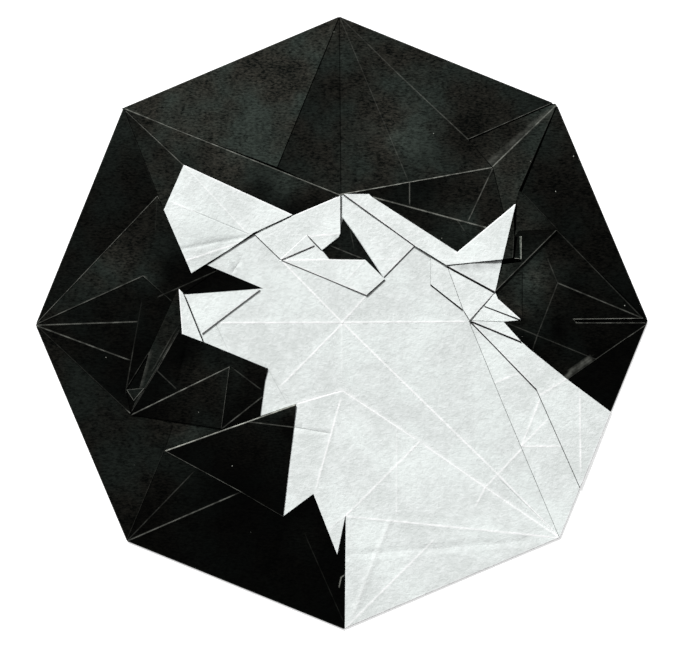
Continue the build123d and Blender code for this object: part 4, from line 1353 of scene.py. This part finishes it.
    def reverse_of(self, flap: Flap) -> Flap:
        """Finds the black reverse of a white flap, a little below it, whose edges reach out past the flap as
        painted shade.

        Args:
            flap: The white flap.

        Returns:
            Its reverse, as a flap of its own.
        """
        layers = flap.known(flap.layer, flap.levels)
        lowered = " ".join(f"{name} {layer - self.reverse_drop}" for name, layer in layers.items())
        dents = tuple(line for line in flap.creases if line.mark.height < 0)
        return Flap(f"{flap.name}_reverse", flap.outline, Side.BLACK, flap.layer, creases=dents,
                    levels=lowered, tone=REVERSE_TONE, painted_shade_peeks=flap.painted_shade_peeks, reverse=True)

    def build_flap(self, flap: Flap, finishes: list[Material]) -> Object:
        """Makes one flap.

        Args:
            flap: The flap to make.
            finishes: The black paper and the white paper.

        Returns:
            The flap as an object of its own.
        """
        corners = self.outline(flap)
        piece = self.start_polygon(flap.name, corners)
        for finish in finishes:
            piece.data.materials.append(finish)
        self.score(flap, corners)
        bpy.ops.object.mode_set(mode="OBJECT")
        self.shape(flap, piece)
        bpy.ops.object.mode_set(mode="EDIT")
        for edge in flap.folds:
            if edge.turns:
                self.turn_over(flap, edge)
        bpy.ops.object.mode_set(mode="OBJECT")
        self.thicken(piece, flap)
        bpy.ops.object.shade_smooth_by_angle(angle=math.radians(self.smooth_angle))
        LOG.info("%s: %d faces", flap.name, len(piece.data.polygons))
        return piece

    def build(self) -> Object:
        """Makes the folded sheet.

        Returns:
            All its flaps as one object.
        """
        finishes = [BLACK_PAPER.build(), WHITE_PAPER.build()]
        # Only white flaps with painted shade lines get a black reverse
        reverses = [self.reverse_of(flap) for flap in WHITE_FLAPS if flap.painted_shade_peeks]
        leaves = (BASE, GROUND, *BLACK_FLAPS, *reverses, *WHITE_FLAPS)
        pieces = [self.build_flap(flap, finishes) for flap in leaves]
        bpy.ops.object.select_all(action="DESELECT")
        for piece in pieces:
            piece.select_set(True)
        bpy.context.view_layer.objects.active = pieces[0]
        bpy.ops.object.join()
        sheet = bpy.context.object
        sheet.name = "wolf_head_sheet"
        return sheet


@dataclass(frozen=True)
class Studio:
    """Floor, light and camera.

    Attributes:
        lens: Focal length of the camera in millimetres.
        sensor: Width of its sensor in millimetres.
        nearest: Nearest distance that the camera sees.
        floor_size: Side of the floor.
        floor_drop: How far the floor lies below the sheet.
        floor_colour: Colour of the floor.
        floor_roughness: Roughness of the floor.
        floor_glow: Light that the floor adds for the camera alone, so that it is seen white.
        sky: Strength of the even light from all around.
        window: Place of the lamp.
        window_side: Side of the lamp.
        window_power: Power of the lamp in watts.
    """

    lens: float = 85.0
    sensor: float = 36.0
    nearest: float = 0.01
    floor_size: float = 3.0
    floor_drop: float = 0.02 * MM
    floor_colour: str = "#F2F2F2"
    floor_roughness: float = 0.9
    floor_glow: float = 0.55
    sky: float = 0.22
    window: tuple[float, float, float] = (-1.4, 2.58, 2.07)
    window_side: float = 0.7
    window_power: float = 180.0

    def add_floor(self) -> None:
        """Adds a white floor that keeps the object's shadow."""
        bpy.ops.object.select_all(action="DESELECT")
        bpy.ops.mesh.primitive_plane_add(size=self.floor_size, location=(0.0, 0.0, -self.floor_drop))
        floor = bpy.context.object
        floor.name = "floor"
        # Matt white card: an even ground that takes a soft shadow
        material = blank_material("white_floor")
        path = add_node(material, "LightPath")
        seen = add_node(material, "Math", {"operation": "MULTIPLY"},
                        {0: path.outputs["Is Camera Ray"], 1: self.floor_glow})
        surface = add_node(material, "BsdfPrincipled", None,
                           {"Base Color": linear(self.floor_colour), "Roughness": self.floor_roughness,
                            "Specular IOR Level": 0.0, "Emission Color": linear("#FFFFFF"),
                            "Emission Strength": seen.outputs[0]})
        add_node(material, "OutputMaterial", None, {"Surface": surface.outputs[0]})
        floor.data.materials.append(material)

    def add_light(self) -> None:
        """Adds a square lamp that faces the sheet, as a window would."""
        bpy.ops.object.light_add(type="AREA", location=self.window)
        lamp = bpy.context.object
        lamp.name = "window"
        lamp.data.size = self.window_side
        lamp.data.energy = self.window_power
        lamp.rotation_euler = (-Vector(self.window)).to_track_quat("-Z", "Y").to_euler()

    def add_world(self) -> None:
        """Adds an even white sky."""
        world = bpy.data.worlds.new("studio_sky")
        bpy.context.scene.world = world
        world.use_nodes = True
        sky = world.node_tree.nodes["Background"]
        sky.inputs["Color"].default_value = linear("#FFFFFF")
        sky.inputs["Strength"].default_value = self.sky

    def add_camera(self) -> None:
        """Adds a camera that looks straight down, turned and set off as the picture is."""
        per_pixel = CORNER_RADIUS / SEEN_RADIUS
        distance = PICTURE_WIDTH * per_pixel * self.lens / self.sensor
        across = (PICTURE_WIDTH / 2 - SEEN_CENTRE[0]) * per_pixel
        up = (SEEN_CENTRE[1] - PICTURE_HEIGHT / 2) * per_pixel
        bpy.ops.object.camera_add(location=(across, up, distance),
                                  rotation=(0.0, 0.0, math.radians(-SEEN_TURN)))
        camera = bpy.context.object
        camera.data.lens = self.lens
        camera.data.sensor_width = self.sensor
        camera.data.clip_start = self.nearest
        bpy.context.scene.camera = camera

    def build(self) -> None:
        """Builds the floor, the light and the camera."""
        self.add_floor()
        self.add_world()
        self.add_light()
        self.add_camera()
        bpy.context.scene.view_settings.view_transform = "Standard"


def main() -> None:
    """Builds the sheet and the studio."""
    logging.basicConfig(level=logging.INFO, format="%(message)s")
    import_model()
    sheet = FoldedSheet().build()
    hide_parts(NODE)
    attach(sheet, "root")
    LOG.info("%s: %d faces in all", sheet.name, len(sheet.data.polygons))
    Studio().build()
    bpy.context.view_layer.update()


if __name__ == "__main__":
    main()
